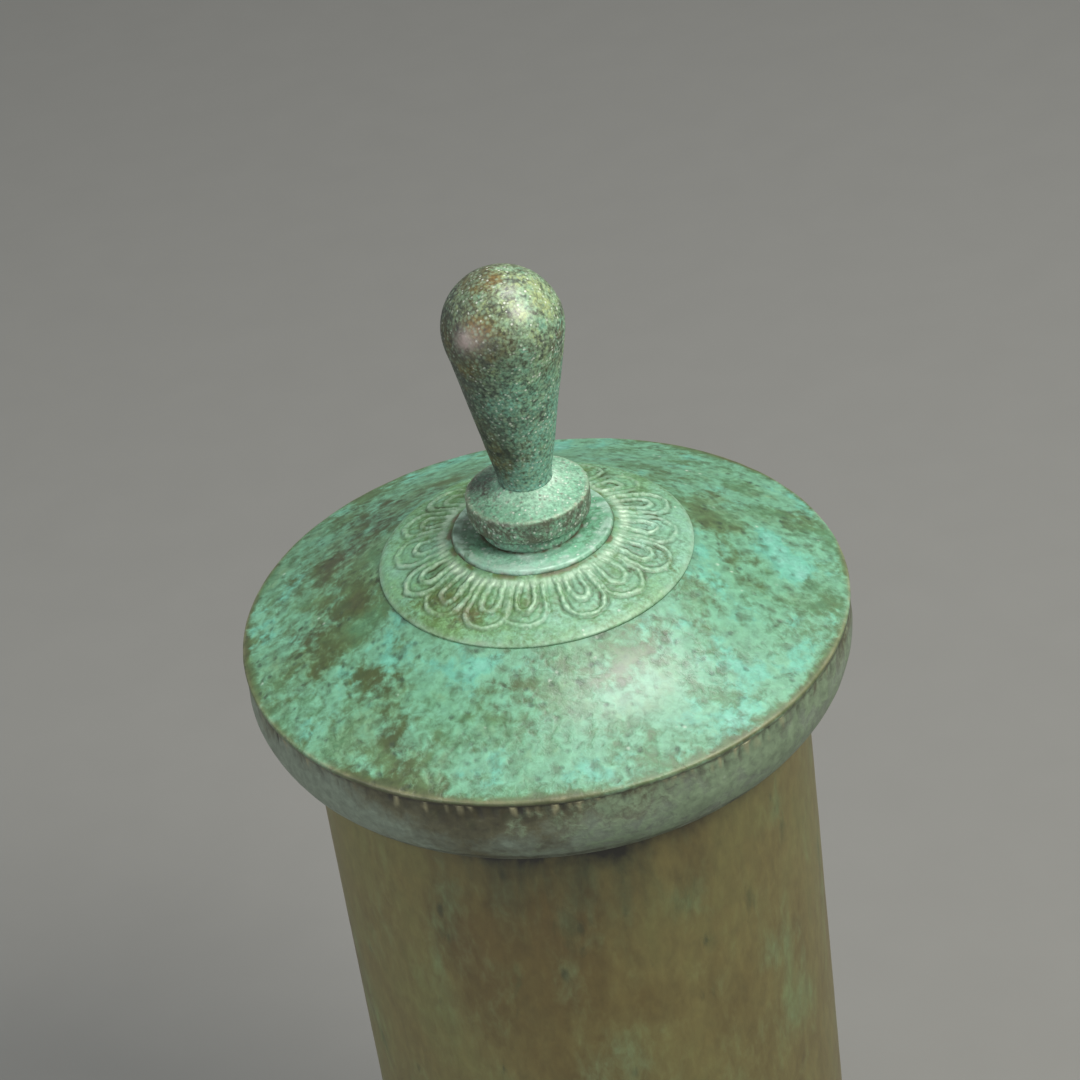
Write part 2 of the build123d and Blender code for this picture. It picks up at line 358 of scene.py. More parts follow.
def raised(piece, depth, group, amounts=None, grain=0.0, middle=0.5):
    """Moves the surface out, evenly or by clouds, as far as the group's amounts say, and locates it again."""
    if amounts is not None:
        made = piece.vertex_groups.new(name=group)
        for index, amount in enumerate(amounts):
            if amount > LEAST_WEIGHT:
                made.add([index], float(amount), "REPLACE")
    step = piece.modifiers.new("relief", "DISPLACE")
    step.strength = depth
    step.mid_level = 0.0
    step.vertex_group = group
    if grain:
        cloud = bpy.data.textures.new(f"{piece.name} clouds", "CLOUDS")
        cloud.noise_scale = grain
        step.texture = cloud
        step.texture_coords = "LOCAL"
        step.mid_level = middle
    bpy.context.view_layer.objects.active = piece
    bpy.ops.object.modifier_apply(modifier=step.name)
    return located(piece)


def unit(values):
    """The values, held between 0 and 1."""
    return np.clip(values, 0, 1)


def band(values, low, high, soft):
    """1 between low and high, easing to 0 over the soft width."""
    return unit((values - low) / soft + 1) * unit((high - values) / soft + 1)


def bell(values, width, order=2):
    """1 where the value is 0, falling off over this width."""
    return np.exp(-((values / width) ** order))


def facing(way, azimuth, order=1):
    """1 on the side at this azimuth in degrees, falling to 0 at right angles to it."""
    return unit(np.cos(way - math.radians(azimuth))) ** order


def blots(points, spots):
    """Sum of soft round spots: azimuth in degrees, radius, height and reach in millimetres, and amount."""
    points = points / MM
    total = np.zeros(len(points))
    for azimuth, radius, height, reach, amount in spots:
        turn = math.radians(azimuth)
        middle = np.array((radius * math.cos(turn), radius * math.sin(turn), height))
        total += amount * np.exp(-(((points - middle) / reach) ** 2).sum(axis=1))
    return total


def mottle(points, reach, seed):
    """Smooth random field of about this wavelength, mostly between -1 and 1."""
    chance = np.random.default_rng(seed)
    total = np.zeros(len(points))
    for _ in range(MOTTLE_WAVES):
        way = chance.normal(size=3)
        way *= math.tau / reach * chance.uniform(0.6, 1.6) / np.linalg.norm(way)
        total += np.cos(points @ way + chance.uniform(0, math.tau))
    return total / MOTTLE_FIT


def finish(piece, body, node, slot, material, **layers):
    """Gives the piece its material, the layers it reads, one number per point, and its place in the frame."""
    for layer, amounts in layers.items():
        painted = piece.data.attributes.new(layer, "FLOAT", "POINT")
        painted.data.foreach_set("value", np.asarray(amounts, dtype=np.float32))
    piece.data.materials.clear()
    piece.data.materials.append(material)
    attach(piece, body)
    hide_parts(node)


# Materials


def put(tree, kind, inputs=(), stops=(), out=0, **settings):
    """Adds a node with settings by name, inputs by key or in order and a ramp's stops, and gives one output."""
    node = tree.nodes.new("ShaderNode" + kind)
    for name, value in settings.items():
        setattr(node, name, value)
    for key, value in inputs.items() if isinstance(inputs, dict) else enumerate(inputs):
        if isinstance(value, bpy.types.NodeSocket):
            tree.links.new(value, node.inputs[key])
        else:
            node.inputs[key].default_value = linear(value) if isinstance(value, str) else value
    for k, (place, tint) in enumerate(stops):
        ramp = node.color_ramp.elements
        mark = ramp[k] if k < 2 else ramp.new(place)
        mark.position = place
        mark.color = linear(tint) if isinstance(tint, str) else tint
    return node.outputs[out] if node.outputs else None


def blank(name):
    """A material with no nodes, and put for its node tree."""
    material = bpy.data.materials.new(name)
    material.use_nodes = True
    material.node_tree.nodes.clear()
    return material, functools.partial(put, material.node_tree)


def patina(
    name, ground, crust, cover, sizes, spots, pits, specks, rough, depth, paled, dirt_and_shade="#1D1C12", grain=0.28,
    under=None, tints=("#434E2C", "#2A3824", "#C9D8C6"), stretch=(1, 1, 1),
):
    """Copper carbonate crust over oxidised bronze, shifted from place to place by the painted layers.

    ground and crust are colour stops, cover is (level, softness) of the crust, and sizes are those of its
    blotches, mottles and grains. spots, pits and specks are (size, share), with their tints. rough is for the
    ground and the crust, and grain is how far the finest mottle lightens and darkens. under is a second ground
    and crust. stretch draws the pattern out, as run-off does. Lengths are in millimetres.
    """
    material, add = blank(name)
    place = add("TexCoord", out="Object")
    place = add("VectorMath", (place, stretch), **TIMES)
    clouds = [
        add(
            "TexNoise",
            {"Vector": place, "Scale": 1 / (reach * MM), "Detail": 6.0, "Roughness": 0.62, "Distortion": 0.35},
            out="Fac",
        )
        for reach in sizes
    ]
    _, middle, small = clouds
    layers = {layer: add("Attribute", out="Fac", attribute_name=layer) for layer in LAYERS}

    # Where the crust lies: patches inside patches, broken up by the grain
    total = layers["crust"]
    for cloud, share in zip(clouds, CLOUD_SHARES):
        total = add("Math", (cloud, share, total), **TIMES_PLUS)
    level, soft = cover
    laid = add(
        "MapRange", {"Value": total, "From Min": level - soft, "From Max": level + soft},
        interpolation_type="SMOOTHSTEP",
    )

    # Colours drift from patch to patch
    other = add("VectorMath", (place, ASIDE), operation="ADD")
    scale = 1.4 / (sizes[0] * MM)
    drift = add("TexNoise", {"Vector": other, "Scale": scale, "Detail": 7.0, "Roughness": 0.66}, out="Fac")
    hues = []
    for layer, stops, low in zip(("bare", "blue"), (ground, crust), under or (None, None)):
        shift = add("Math", (drift, layers[layer]), operation="ADD")
        hue = add("ValToRGB", [shift], stops)
        if low:
            lower = add("ValToRGB", [shift], low)
            hue = add("Mix", {0: layers["under"], 6: hue, 7: lower}, **COLOURS)
        hues.append(hue)
    tone = add("Mix", {0: laid, 6: hues[0], 7: hues[1]}, **COLOURS)

    # Fine grain, lighter and darker
    shade = add(
        "MapRange", {"Value": small, "From Min": 0.3, "From Max": 0.7, "To Min": 1 - grain, "To Max": 1 + grain}
    )
    tone = add("Mix", {0: 1.0, 6: tone, 7: shade}, blend_type="MULTIPLY", **COLOURS)

    # Spots, dark pits and pale salt specks: ragged cells of random strength that crowd together
    hollow = add("Math", (laid, 0.6), **TIMES)
    kept = add("MapRange", {"Value": layers["under"], "To Min": 1.0, "To Max": 0.25})
    for (reach, share), tint, (edge, amount, relief) in zip((spots, pits, specks), tints, CELL_LOOKS):
        cells = add("TexVoronoi", {"Vector": other, "Scale": 1 / (reach * MM), "Randomness": 1.0})
        ragged = add("Math", (small, 0.8, cells), **TIMES_PLUS)
        core = add("MapRange", {"Value": ragged, "From Min": edge + 0.4, "From Max": 0.52})
        crowd = add("Math", (middle, 1.4, cells.node.outputs["Color"]), **TIMES_PLUS)
        if relief < 0:
            crowd = add("Math", (layers["bare"], 0.6, crowd), **TIMES_PLUS)
        chosen = add(
            "MapRange", {"Value": crowd, "From Min": 1.7 - share, "From Max": 1.85 - share, "To Max": amount}
        )
        here = add("Math", (core, chosen), **TIMES)
        if under:
            here = add("Math", (here, kept), **TIMES)
        tone = add("Mix", {0: here, 6: tone, 7: tint}, **COLOURS)
        hollow = add("Math", (here, relief, hollow), **TIMES_PLUS)

    # Dirt in the seams and painted shade, then bare metal where hands and cloths rub along with painted
    # highlights and glints, both broken up
    broken = add(
        "MapRange", {"Value": middle, "From Min": 0.36, "From Max": 0.64, "To Min": 0.25, "To Max": 1.5}
    )
    for layer, tint in (("grime", dirt_and_shade), ("wear", paled)):
        rubbed = add("Math", (layers[layer], broken), use_clamp=True, **TIMES)
        tone = add("Mix", {0: rubbed, 6: tone, 7: tint}, **COLOURS)
    metal = add("Math", (rubbed, 0.3), **TIMES)

    # Handling evens the surface out
    evened, sharp = [
        add("MapRange", {"Value": layers["polish"], "To Min": untouched, "To Max": handled})
        for untouched, handled in (HANDLED_ROUGHNESS, HANDLED_BUMP)
    ]
    gloss = add("MapRange", {"Value": laid, "To Min": rough[0], "To Max": rough[1]})
    gloss = add("Math", (gloss, evened), **TIMES)

    # Relief: crust and salt stand proud of the metal, spots and pits go in
    height = add("Math", (small, 0.7, hollow), **TIMES_PLUS)
    bump = add("Bump", {"Height": height, "Strength": sharp, "Distance": depth * MM})
    shader = add(
        "BsdfPrincipled",
        {"Base Color": tone, "Metallic": metal, "Roughness": gloss, "IOR": CARBONATE_INDEX, "Normal": bump},
    )
    add("OutputMaterial", {"Surface": shader})
    return material


def lid_verdigris(lid):
    """Cast bronze long in damp air: green, turquoise in clouds, olive where thin, dry grey under the rim."""
    return patina(
        "verdigris on cast bronze",
        ground=[(0.34, "#528260"), (0.5, "#4E7650"), (0.62, "#527048"), (0.8, lid.film), (0.98, "#424A2C")],
        crust=[(0.32, "#668C68"), (0.46, lid.crust), (0.56, "#689E80"), (0.64, "#60A48C"), (0.95, "#84BCAC")],
        under=(
            [(0.25, "#727F6E"), (0.5, lid.band), (0.72, "#3A3720")],
            [(0.3, "#687A60"), (0.6, "#72866A"), (0.9, "#80967E")],
        ),
        cover=(1.0, 0.15), sizes=(11, 4.2, 1.4), spots=(2.4, 0.36), pits=(1.2, 0.24), specks=(0.9, 0.03),
        tints=("#3F5232", "#283A28", "#C9D8C6"), rough=(0.5, 0.54), depth=0.17, paled=lid.rubbed, dirt_and_shade="#26261A",
    )


def rosette_verdigris(rosette):
    """Chased plate: yellow-green film in the hollows, raised lines rubbed pale."""
    return patina(
        "verdigris on chased bronze",
        ground=[(0.3, "#548054"), (0.56, rosette.film), (0.76, "#526832"), (1.0, "#5C5238")],
        crust=[(0.3, "#709C68"), (0.5, rosette.crust), (0.75, "#80B098"), (0.95, "#A4C6B2")],
        cover=(0.98, 0.2), sizes=(7, 2.0, 0.6), spots=(1.8, 0.12), pits=(0.8, 0.12), specks=(0.6, 0.12),
        rough=(0.46, 0.52), depth=0.06, paled=rosette.rubbed, dirt_and_shade="#34481F",
    )


def boss_verdigris(rosette):
    """Thick fresh carbonate kept in the corner round the knob: strong mint."""
    return patina(
        "fresh verdigris",
        ground=[(0.3, "#46735A"), (0.6, "#527452"), (0.9, "#5C6844")],
        crust=[(0.3, "#5C9674"), (0.5, rosette.fresh), (0.75, "#8ABAA2"), (0.95, "#B6CEC2")],
        cover=(0.97, 0.18), sizes=(6, 1.8, 0.55), spots=(1.2, 0.4), pits=(0.7, 0.16), specks=(0.55, 0.3),
        tints=("#C2DACC", "#2E4A36", "#DCE6DA"), rough=(0.46, 0.52), depth=0.06, paled="#A6C8B4", dirt_and_shade="#544C38",
    )


def collar_patina(knob):
    """Cast bowl: whitish salts on top, dark speckled side, and a dark tint that also paints the knob's shade on
    the top.
    """
    return patina(
        "salt crust on cast bronze",
        ground=[(0.3, "#4E5C4E"), (0.6, "#545442"), (0.9, "#504A38")],
        crust=[(0.3, "#5C9074"), (0.5, knob.salt), (0.75, "#8EBA9E"), (0.95, "#B8D4C0")],
        cover=(1.14, 0.18), sizes=(5, 1.6, 0.5), spots=(0.6, 0.5), pits=(0.6, 0.36), specks=(0.5, 0.36),
        tints=("#A9BCA6", "#23261C", "#DCE4D6"), rough=(0.45, 0.52), depth=0.09, paled="#B2B498", grain=0.5,
    )


def knob_patina(knob):
    """Cast knob, sandy and handled: grey-green film, teal low down, brown where rubbed, pale salt grains."""
    return patina(
        "sandy patina on cast bronze",
        ground=[(0.3, "#3E4A42"), (0.55, knob.film), (0.75, "#625E38"), (0.95, "#6E5A2C")],
        crust=[(0.3, "#8A9A6A"), (0.5, knob.crust), (0.75, "#6EA290"), (0.95, "#98BCA4")],
        cover=(1.13, 0.18), sizes=(6, 2.0, 0.5), spots=(0.6, 0.7), pits=(0.7, 0.4), specks=(0.48, 0.34),
        tints=("#9AB896", "#1C221A", "#E2EADA"), rough=(0.54, 0.6), depth=0.055, paled=knob.rubbed, grain=0.7,
    )


def body_patina(body):
    """Wall of the vessel, kept dry under the lid: smooth olive brown with faint green spots."""
    return patina(
        "olive brown patina",
        ground=[(0.3, "#6F6D3E"), (0.5, body.film), (0.7, "#60542C"), (0.95, "#60522C")],
        crust=[(0.3, "#6C7648"), (0.5, body.crust), (0.8, "#78906E")],
        cover=(1.33, 0.3), sizes=(16, 7, 1.6), spots=(4, 0.1), pits=(1.6, 0.06), specks=(1.6, -0.2),
        rough=(0.45, 0.52), depth=0.03, paled="#9A8A60", grain=0.16, stretch=(1, 1, 0.45),
    )


def inner_oxide(body):
    """Inside faces, never cleaned: dull dark brown oxide."""
    return patina(
        "dull brown oxide",
        ground=[(0.3, "#3F3622"), (0.5, body.oxide), (0.8, "#5B5138")],
        crust=[(0.3, "#566046"), (0.5, "#647256"), (0.8, "#76876C")],
        cover=(1.32, 0.2), sizes=(14, 5, 1.2), spots=(3, 0.14), pits=(1.2, 0.14), specks=(0.9, 0.08),
        rough=(0.55, 0.65), depth=0.05, paled="#8C7A50",
    )


def stage_paper(stage):
    """Matt pale paper with a barely seen tooth."""
    material, add = blank("matt pale paper")
    place = add("TexCoord", out="Object")
    tooth = add("TexNoise", {"Vector": place, "Scale": 60.0, "Detail": 3.0}, out="Fac")
    shade = add("MapRange", {"Value": tooth, "To Min": 0.97, "To Max": 1.03})
    tone = add("Mix", {0: 1.0, 6: stage.floor, 7: shade}, blend_type="MULTIPLY", **COLOURS)
    shader = add("BsdfPrincipled", {"Base Color": tone, "Roughness": 0.9})
    add("OutputMaterial", {"Surface": shader})
    return material


# Pieces


class BodyTube(Operator):
    """Straight wall of the vessel, with a slightly uneven face."""

    bl_idname = "bronze.body_tube"
    bl_label = "Body tube"

    def execute(self, context):
        body = context.scene.vessel_body
        outer, low, high = TUBE_HIGH[0], TUBE_LOW[2], TUBE_HIGH[2]
        bore = outer - body.wall
        ease = body.mouth_round
        outline = spaced([(outer, low), (outer, high - ease)], 1.6 * MM)
        outline += rounded((outer, low), (outer, high), (bore, high), ease)
        outline += rounded((outer, high), (bore, high), (bore, low), ease)
        outline += spaced([(bore, high - ease), (bore, low)], 6 * MM)[1:] + [(outer, low)]
        piece, _, out, _, _ = turned("vessel_wall", outline)
        place, out, tall, way = raised(piece, 0.1 * MM, "outside", out > outer - 0.5 * MM, 9 * MM)
        greens, browns = [
            blots(place, [(turn, outer / MM, up, reach, amount) for turn, up, reach, amount in rows])
            for rows in (WALL_GREENS, WALL_BROWNS)
        ]
        lining = out < bore + 0.4 * MM
        # Darker just under the lid all round, and further down at the front: partly brown stain, partly painted
        # shadow of the lid
        lid_shadow_and_stain = 0.6 * bell(high - tall, 2.2 * MM) + 0.55 * facing(way, 274, 5) * bell(high - tall, 17 * MM)
        finish(
            piece, "vessel", "body_tube", "brown_bronze", body_patina(body),
            crust=greens - 0.2 * lining, bare=browns, grime=lid_shadow_and_stain + 0.4 * lining,
        )
        return {"FINISHED"}


class FootRing(Operator):
    """Ring foot with a spreading profile."""

    bl_idname = "bronze.foot_ring"
    bl_label = "Foot ring"

    def execute(self, context):
        body = context.scene.vessel_body
        wide, high = FOOT_HIGH[0], FOOT_HIGH[2]
        tube = TUBE_HIGH[0]
        ledge = body.ledge
        upright = body.foot_upright
        inner = tube - body.wall - body.ledge_reach
        top = tube + body.foot_lip
        outline = [(inner, 0.0)] + rounded((inner, 0), (wide, 0), (wide, upright), 0.6 * MM)
        outline += rounded((wide, 0), (wide, upright), (top, upright), 0.5 * MM)
        outline += bent(outline[-1], (top, upright), (top, high - 0.3 * MM), steps=16)
        outline += rounded((top, 0), (top, high), (tube, high), 0.3 * MM)
        outline += [(tube, high), (tube, ledge), (inner, ledge), (inner, 0.0)]
        piece, _, out, tall, _ = turned("vessel_foot", spaced(outline, MM))
        outside = (out > top - 0.1 * MM) * (tall > 0.7 * MM)
        _, out, tall, _ = raised(piece, 0.08 * MM, "outside", outside, 5 * MM)
        paled = band(out, wide - 0.7 * MM, wide, 0.4 * MM) * band(tall, 0, upright, 0.5 * MM)
        finish(
            piece, "vessel", "foot_ring", "brown_bronze", body_patina(body),
            wear=0.4 * paled,
            grime=0.8 * band(out, 0, tube + 0.5 * MM, 0.4 * MM),
            crust=0.12 * band(tall, upright, high - MM, MM),
        )
        return {"FINISHED"}


class Lid(Operator):
    """Umbrella lid with its rim and the band that curves under."""

    bl_idname = "bronze.lid"
    bl_label = "Lid"

    def execute(self, context):
        lid = context.scene.vessel_lid
        tenon = context.scene.vessel_knob.tenon
        wide, mouth, seat = LID_HIGH[0], LID_LOW[2], LID_HIGH[2]
        tube, ring = TUBE_HIGH[0], RING_HIGH[0]
        plate, boss = PLATE_HIGH[0], BOSS_HIGH[0]
        rim = mouth + lid.band_height
        shoulder = rim + lid.dome_rise
        drop = lid.wall / math.cos(context.scene.vessel_rosette.slope)
        hollow = wide - lid.wall

        def dome(radius):
            share = (radius - plate) / (wide - plate)
            return shoulder - lid.dome_rise * share - 4 * lid.dome_sag * share * (1 - share)

        slope = [(r, dome(r)) for r in np.linspace(plate, wide, 46)]
        turn = rim - lid.band_straight
        curl = bent(
            (wide, turn),
            (wide, turn - lid.band_fullness * (turn - mouth)),
            (tube + lid.band_fullness * (wide - tube), mouth),
            (tube, mouth),
            steps=26,
        )
        lip = rim - lid.lip_height
        neck = wide - lid.lip_step
        corner = mouth + lid.hollow_corner
        outline = [(tenon, seat), (boss, seat)] + spaced([(boss, seat), (plate, shoulder)], 3 * MM)[1:]
        outline += slope[1:-1] + rounded(slope[-2], (wide, rim), (wide, turn), lid.rim_round)
        outline += bent((wide, lip + 0.1 * MM), (wide, lip - 0.1 * MM), (neck, lip - 0.1 * MM), steps=3)
        outline += bent((neck, lip - 0.1 * MM), (neck, lip - MM), (wide, turn), steps=14) + curl
        outline += [(ring, mouth), (ring, mouth + lid.seat), (hollow - 1.5 * MM, corner - 0.7 * MM)]
        outline += [(hollow, corner + 1.2 * MM), (hollow, dome(hollow) - drop - 1.2 * MM)]
        outline += [(r, dome(r) - drop) for r in np.linspace(hollow - 1.2 * MM, plate, 8)]
        outline += [(boss, seat - drop), (tenon, seat - drop), (tenon, seat)]
        piece, place, out, tall, way = turned("umbrella_lid", outline)
        fair = np.interp(out, [plate, wide], [shoulder, rim])
        top = (out > plate + 0.3 * MM) & (tall > fair - 0.9 * MM)
        side = (tall <= rim) & (tall > mouth + 0.4 * MM) & (out > hollow)
        raised(piece, 0.16 * MM, "outside", top | side, 8 * MM)
        raised(piece, 0.05 * MM, "outside", grain=1.8 * MM)

        # Run-off leaves drops and dents under the lip
        crowd = 0.4 + 0.5 * mottle(place * (1, 1, 0), 24 * MM, seed=11) + facing(way, 280)
        hanging = unit(1.1 - (lip - tall) / (3.2 * MM)) * (tall < lip - 0.1 * MM) * (out > hollow)
        runs = mottle(place * (1, 1, 0.25), 1.5 * MM, seed=7) * np.clip(crowd, 0, 1.3) * hanging
        raised(piece, RUN_OFF, "drops", unit(runs))
        place, out, tall, _ = raised(piece, -RUN_OFF, "dents", unit(-runs))

        # Thin and thick crust on the dome, a dry film below the rim, and the rim itself rubbed bare
        ragged = place + RAGGED * np.stack([mottle(place, 7 * MM, seed) for seed in (21, 22, 23)], axis=1)
        bare, full = [
            blots(ragged, [(turn, r, dome(r * MM) / MM, reach, amount) for turn, r, reach, amount in rows])
            for rows in (DOME_THIN, DOME_THICK)
        ]
        below = unit((rim - 0.3 * MM - tall) / (0.4 * MM)) * (out > ring)
        above = 1 - below
        streaks = mottle(np.stack([way * 12 * MM, out, 0 * out], axis=1), 3 * MM, seed=31)
        upper = unit(1 - (rim - tall) / (7 * MM))
        right, left, dull = facing(way, 308, 2.5), facing(way, 213, 6), facing(way, 250, 12)
        far = unit(1.6 * np.cos(way))
        edge = np.hypot(out - wide, tall - rim)
        bared = bell(edge, MM) * unit(0.5 + 0.6 * mottle(place, 20 * MM, seed=9))
        crust = 0.85 * full - 0.62 * bare - 0.5 * bared + 0.07 * streaks * unit(-place[:, 1] / wide)
        film = (1.1 - 0.45 * far) * bare + 0.45 * bared
        dry = 0.42 * upper - 0.25 - 0.28 * left - 0.16 * right + 0.24 * dull
        seam = band(out, plate - MM, plate + 0.2 * MM, 0.4 * MM) * (tall > shoulder - MM)
        inside = (tall < dome(out) - MM) & (out < hollow + 0.2 * MM) | (tall < mouth + 0.4 * MM)
        # The band just under the lip and the dents are darkened, and the drops under the lip are paled with the
        # rubbed colour as painted glints
        under_lip = band(tall, lip - 0.5 * MM, lip - 0.1 * MM, 0.15 * MM) * (out > wide - MM)
        dents = np.clip(-runs - 0.15, 0, 0.8)
        finish(
            piece, "lid", "lid_shell", "green_bronze", lid_verdigris(lid),
            under=below, polish=0.85 * band(out, 29 * MM, 33 * MM, 7 * MM) * above,
            crust=crust * above + (0.52 * right - 0.45) * below,
            bare=film * above + dry * below, blue=(0.7 * full - 0.3 * bare) * above,
            wear=unit(0.38 * bell(edge, 0.4 * MM) + np.clip(runs - 0.3, 0, 0.7)),
            grime=np.maximum.reduce([0.2 * seam, 0.6 * inside, 0.5 * under_lip, 1.2 * dents]),
        )
        return {"FINISHED"}


class Rosette(Operator):
    """Thin plate with raised double petal outlines, each a little different as chased work is."""

    bl_idname = "bronze.rosette"
    bl_label = "Rosette"

    def execute(self, context):
        rosette = context.scene.vessel_rosette
        tenon = context.scene.vessel_knob.tenon
        edge, low = PLATE_HIGH[0], PLATE_LOW[2]
        boss, base = BOSS_HIGH[0], BOSS_LOW[2]
        lift = rosette.thickness / math.cos(rosette.slope)
        outline = [(tenon, base), (boss - 0.3 * MM, base)]
        fall = math.tan(rosette.slope)
        rolled = (edge - rosette.rolled, low + lift + rosette.rolled * fall)
        outline += spaced([(boss, base), rolled], 0.15 * MM)
        outline += bent(rolled, (edge - 0.4 * MM, low + lift), (edge, low + 0.3 * MM), steps=8)
        outline += [(edge, low), (boss, base - lift), (tenon, base - lift), (tenon, base)]
        piece, place, out, tall, way = turned("lotus_plate", outline)
        on_top = (tall > low + lift + (edge - out) * fall - 0.05 * MM) & (out > boss)
        lines, grooves, fill, gaps = np.zeros((4, len(place)))
        uneven = 0.16 * MM * mottle(place, 3 * MM, seed=3) + 0.07 * MM * mottle(place, 0.9 * MM, seed=8)
        wavy = 0.14 * MM * mottle(place, 2.2 * MM, seed=4) + 0.07 * MM * mottle(place, 0.9 * MM, seed=10)
        line = rosette.line
        chance = random.Random(CHASING_SEED)
        pitch = math.tau / rosette.petals
        for k in range(rosette.petals):
            middle = pitch * k + math.radians(PETAL_SHIFTS[k % len(PETAL_SHIFTS)])
            half = pitch / 2 * chance.uniform(0.8, 0.92)
            tip = edge - rosette.border - chance.uniform(-0.2, 0.5) * MM
            aside = (way - middle + math.pi) % math.tau - math.pi
            near = on_top & (abs(aside) < pitch * 0.7)
            x = out[near] * np.cos(aside[near]) + uneven[near]
            y = abs(out[near] * np.sin(aside[near]) + wavy[near])
            inner = chance.uniform(0.44, 0.54)
            setback = chance.uniform(2.3, 3.0) * MM
            # The outer and the inner loop: share of the width, setback, arch, width at the boss, least strength
            for share, back, arch, narrow, weakest in (
                (1.0, 0.0, 2.9 * MM, 1.0, 0.45),
                (inner, setback, 1.7 * MM, 0.6, 0.65),
            ):
                shoulder = tip - back - arch
                flank = zip(np.linspace(boss, shoulder, 8), np.linspace(narrow, 1.0, 8) ** 0.5)
                bow = [(r, half * share * w) for r, w in flank]
                turns = np.linspace(0, math.pi / 2, 18)[1:]
                bow += [(shoulder + arch * math.sin(t), half * share * math.cos(t)) for t in turns]
                bow = [(r * math.cos(a), r * math.sin(a)) for r, a in bow]
                gap = np.full(len(x), 1.0)
                for (ax, ay), (bx, by) in zip(bow, bow[1:]):
                    dx, dy = bx - ax, by - ay
                    t = unit(((x - ax) * dx + (y - ay) * dy) / (dx * dx + dy * dy))
                    gap = np.minimum(gap, np.hypot(x - ax - t * dx, y - ay - t * dy))
                strength = chance.uniform(weakest, 1.0)
                lines[near] = np.maximum(lines[near], strength * bell(gap, line * 0.5, 4))
                grooves[near] = np.maximum(grooves[near], strength * bell(gap - line * 0.85, line * 0.35))
            off = abs(aside[near])
            inside = unit((half * inner - off) / math.radians(1.5)) * (out[near] < tip - 3.4 * MM)
            fill[near] = np.maximum(fill[near], inside * chance.uniform(0.1, 1.0))
            between = unit((off - half * 0.9) / math.radians(2))
            between *= band(out[near], tip - 3.6 * MM, tip - 1.2 * MM, 0.8 * MM)
            gaps[near] = np.maximum(gaps[near], between * chance.uniform(0.1, 1.0))

        # The lines run out towards the boss, and handling has softened them
        fade = unit((out - boss - 0.3 * MM) / (1.6 * MM))
        softened = 0.78 + 0.3 * mottle(place, 4 * MM, seed=5) + 0.3 * mottle(place, 1.1 * MM, seed=6)
        lines *= fade * np.clip(softened, 0.15, 1.0)
        grooves *= fade * (1 - lines)
        raised(piece, 1.7 * rosette.relief, "petal lines", lines, 3.5 * MM, middle=0.0)
        raised(piece, -0.35 * rosette.relief, "grooves", grooves)
        raised(piece, 0.1 * MM, "face", on_top, 1.4 * MM)
        near_boss = bell(out - boss - 1.4 * MM, 0.7 * MM) * on_top
        # Pale band along the plate's rolled edge: painted highlight
        edge_highlight = bell(out - edge, 0.5 * MM)
        dark = (0.5 * fill + 0.55 * gaps) * fade * (1 - lines)
        up = base / MM
        olive = blots(place, [(turn, r, up - 2, reach, amount) for turn, r, reach, amount in OLIVE_PETALS])
        rusty = bell(out - boss, 0.75 * MM, 4) * on_top * unit(0.3 + 0.9 * mottle(place, 5 * MM, seed=17))
        lit = blots(place, [(190, 21, up - 3, 7, 0.24), (345, 21, up - 3, 10, 0.16)])
        finish(
            piece, "lid", "rosette_plate", "rosette_bronze", rosette_verdigris(rosette),
            wear=unit(0.7 * lines + 0.75 * near_boss + 0.4 * edge_highlight),
            grime=unit(0.58 * grooves + dark + 0.4 * bell(out - boss, 0.4 * MM)),
            bare=0.2 * fill + 0.9 * olive + 0.5 * rusty, crust=lit - 0.8 * olive - 0.6 * rusty,
            blue=blots(place, [(350, 21, up - 3, 9, 0.16), (228, 21, up - 3, 9, -0.14)]),
        )
        return {"FINISHED"}


class Boss(Operator):
    """Low step in the middle of the rosette."""

    bl_idname = "bronze.boss"
    bl_label = "Boss"

    def execute(self, context):
        rosette = context.scene.vessel_rosette
        knob = context.scene.vessel_knob
        tenon = knob.tenon
        wide, low, high = BOSS_HIGH[0], BOSS_LOW[2], BOSS_HIGH[2]
        narrow = wide - rosette.boss_taper
        outline = [(tenon, low), (wide, low)]
        outline += rounded((wide, low), (narrow, high), (tenon, high), 0.25 * MM) + [(tenon, high), (tenon, low)]
        piece, _, _, tall, _ = turned("boss_step", spaced(outline, 0.3 * MM))
        place, out, tall, way = raised(piece, 0.16 * MM, "outside", tall > low + 0.1 * MM, 1.6 * MM)
        side = unit(1.5 - (tall - low) / (0.4 * MM))
        shade = band(out, 0, knob.collar_foot + 0.2 * MM, 0.4 * MM)
        rag = unit(0.6 + 0.5 * mottle(place, 3 * MM, seed=13))
        # Painted shade: the left side is darkened and its crust thinned, and the ring under the collar's foot is
        # darkened
        left, front, right = [facing(way, turn, 2) for turn in (160, 262, 355)]
        finish(
            piece, "lid", "boss_ring", "rosette_bronze", boss_verdigris(rosette),
            crust=0.15 * front - 0.2 * left, blue=0.22 * front - 0.18 * right,
            grime=unit(0.9 * side * rag + 0.8 * shade + 0.35 * left),
            wear=0.9 * rag * band(out, narrow - MM, wide, 0.5 * MM) * (1 - side),
        )
        return {"FINISHED"}


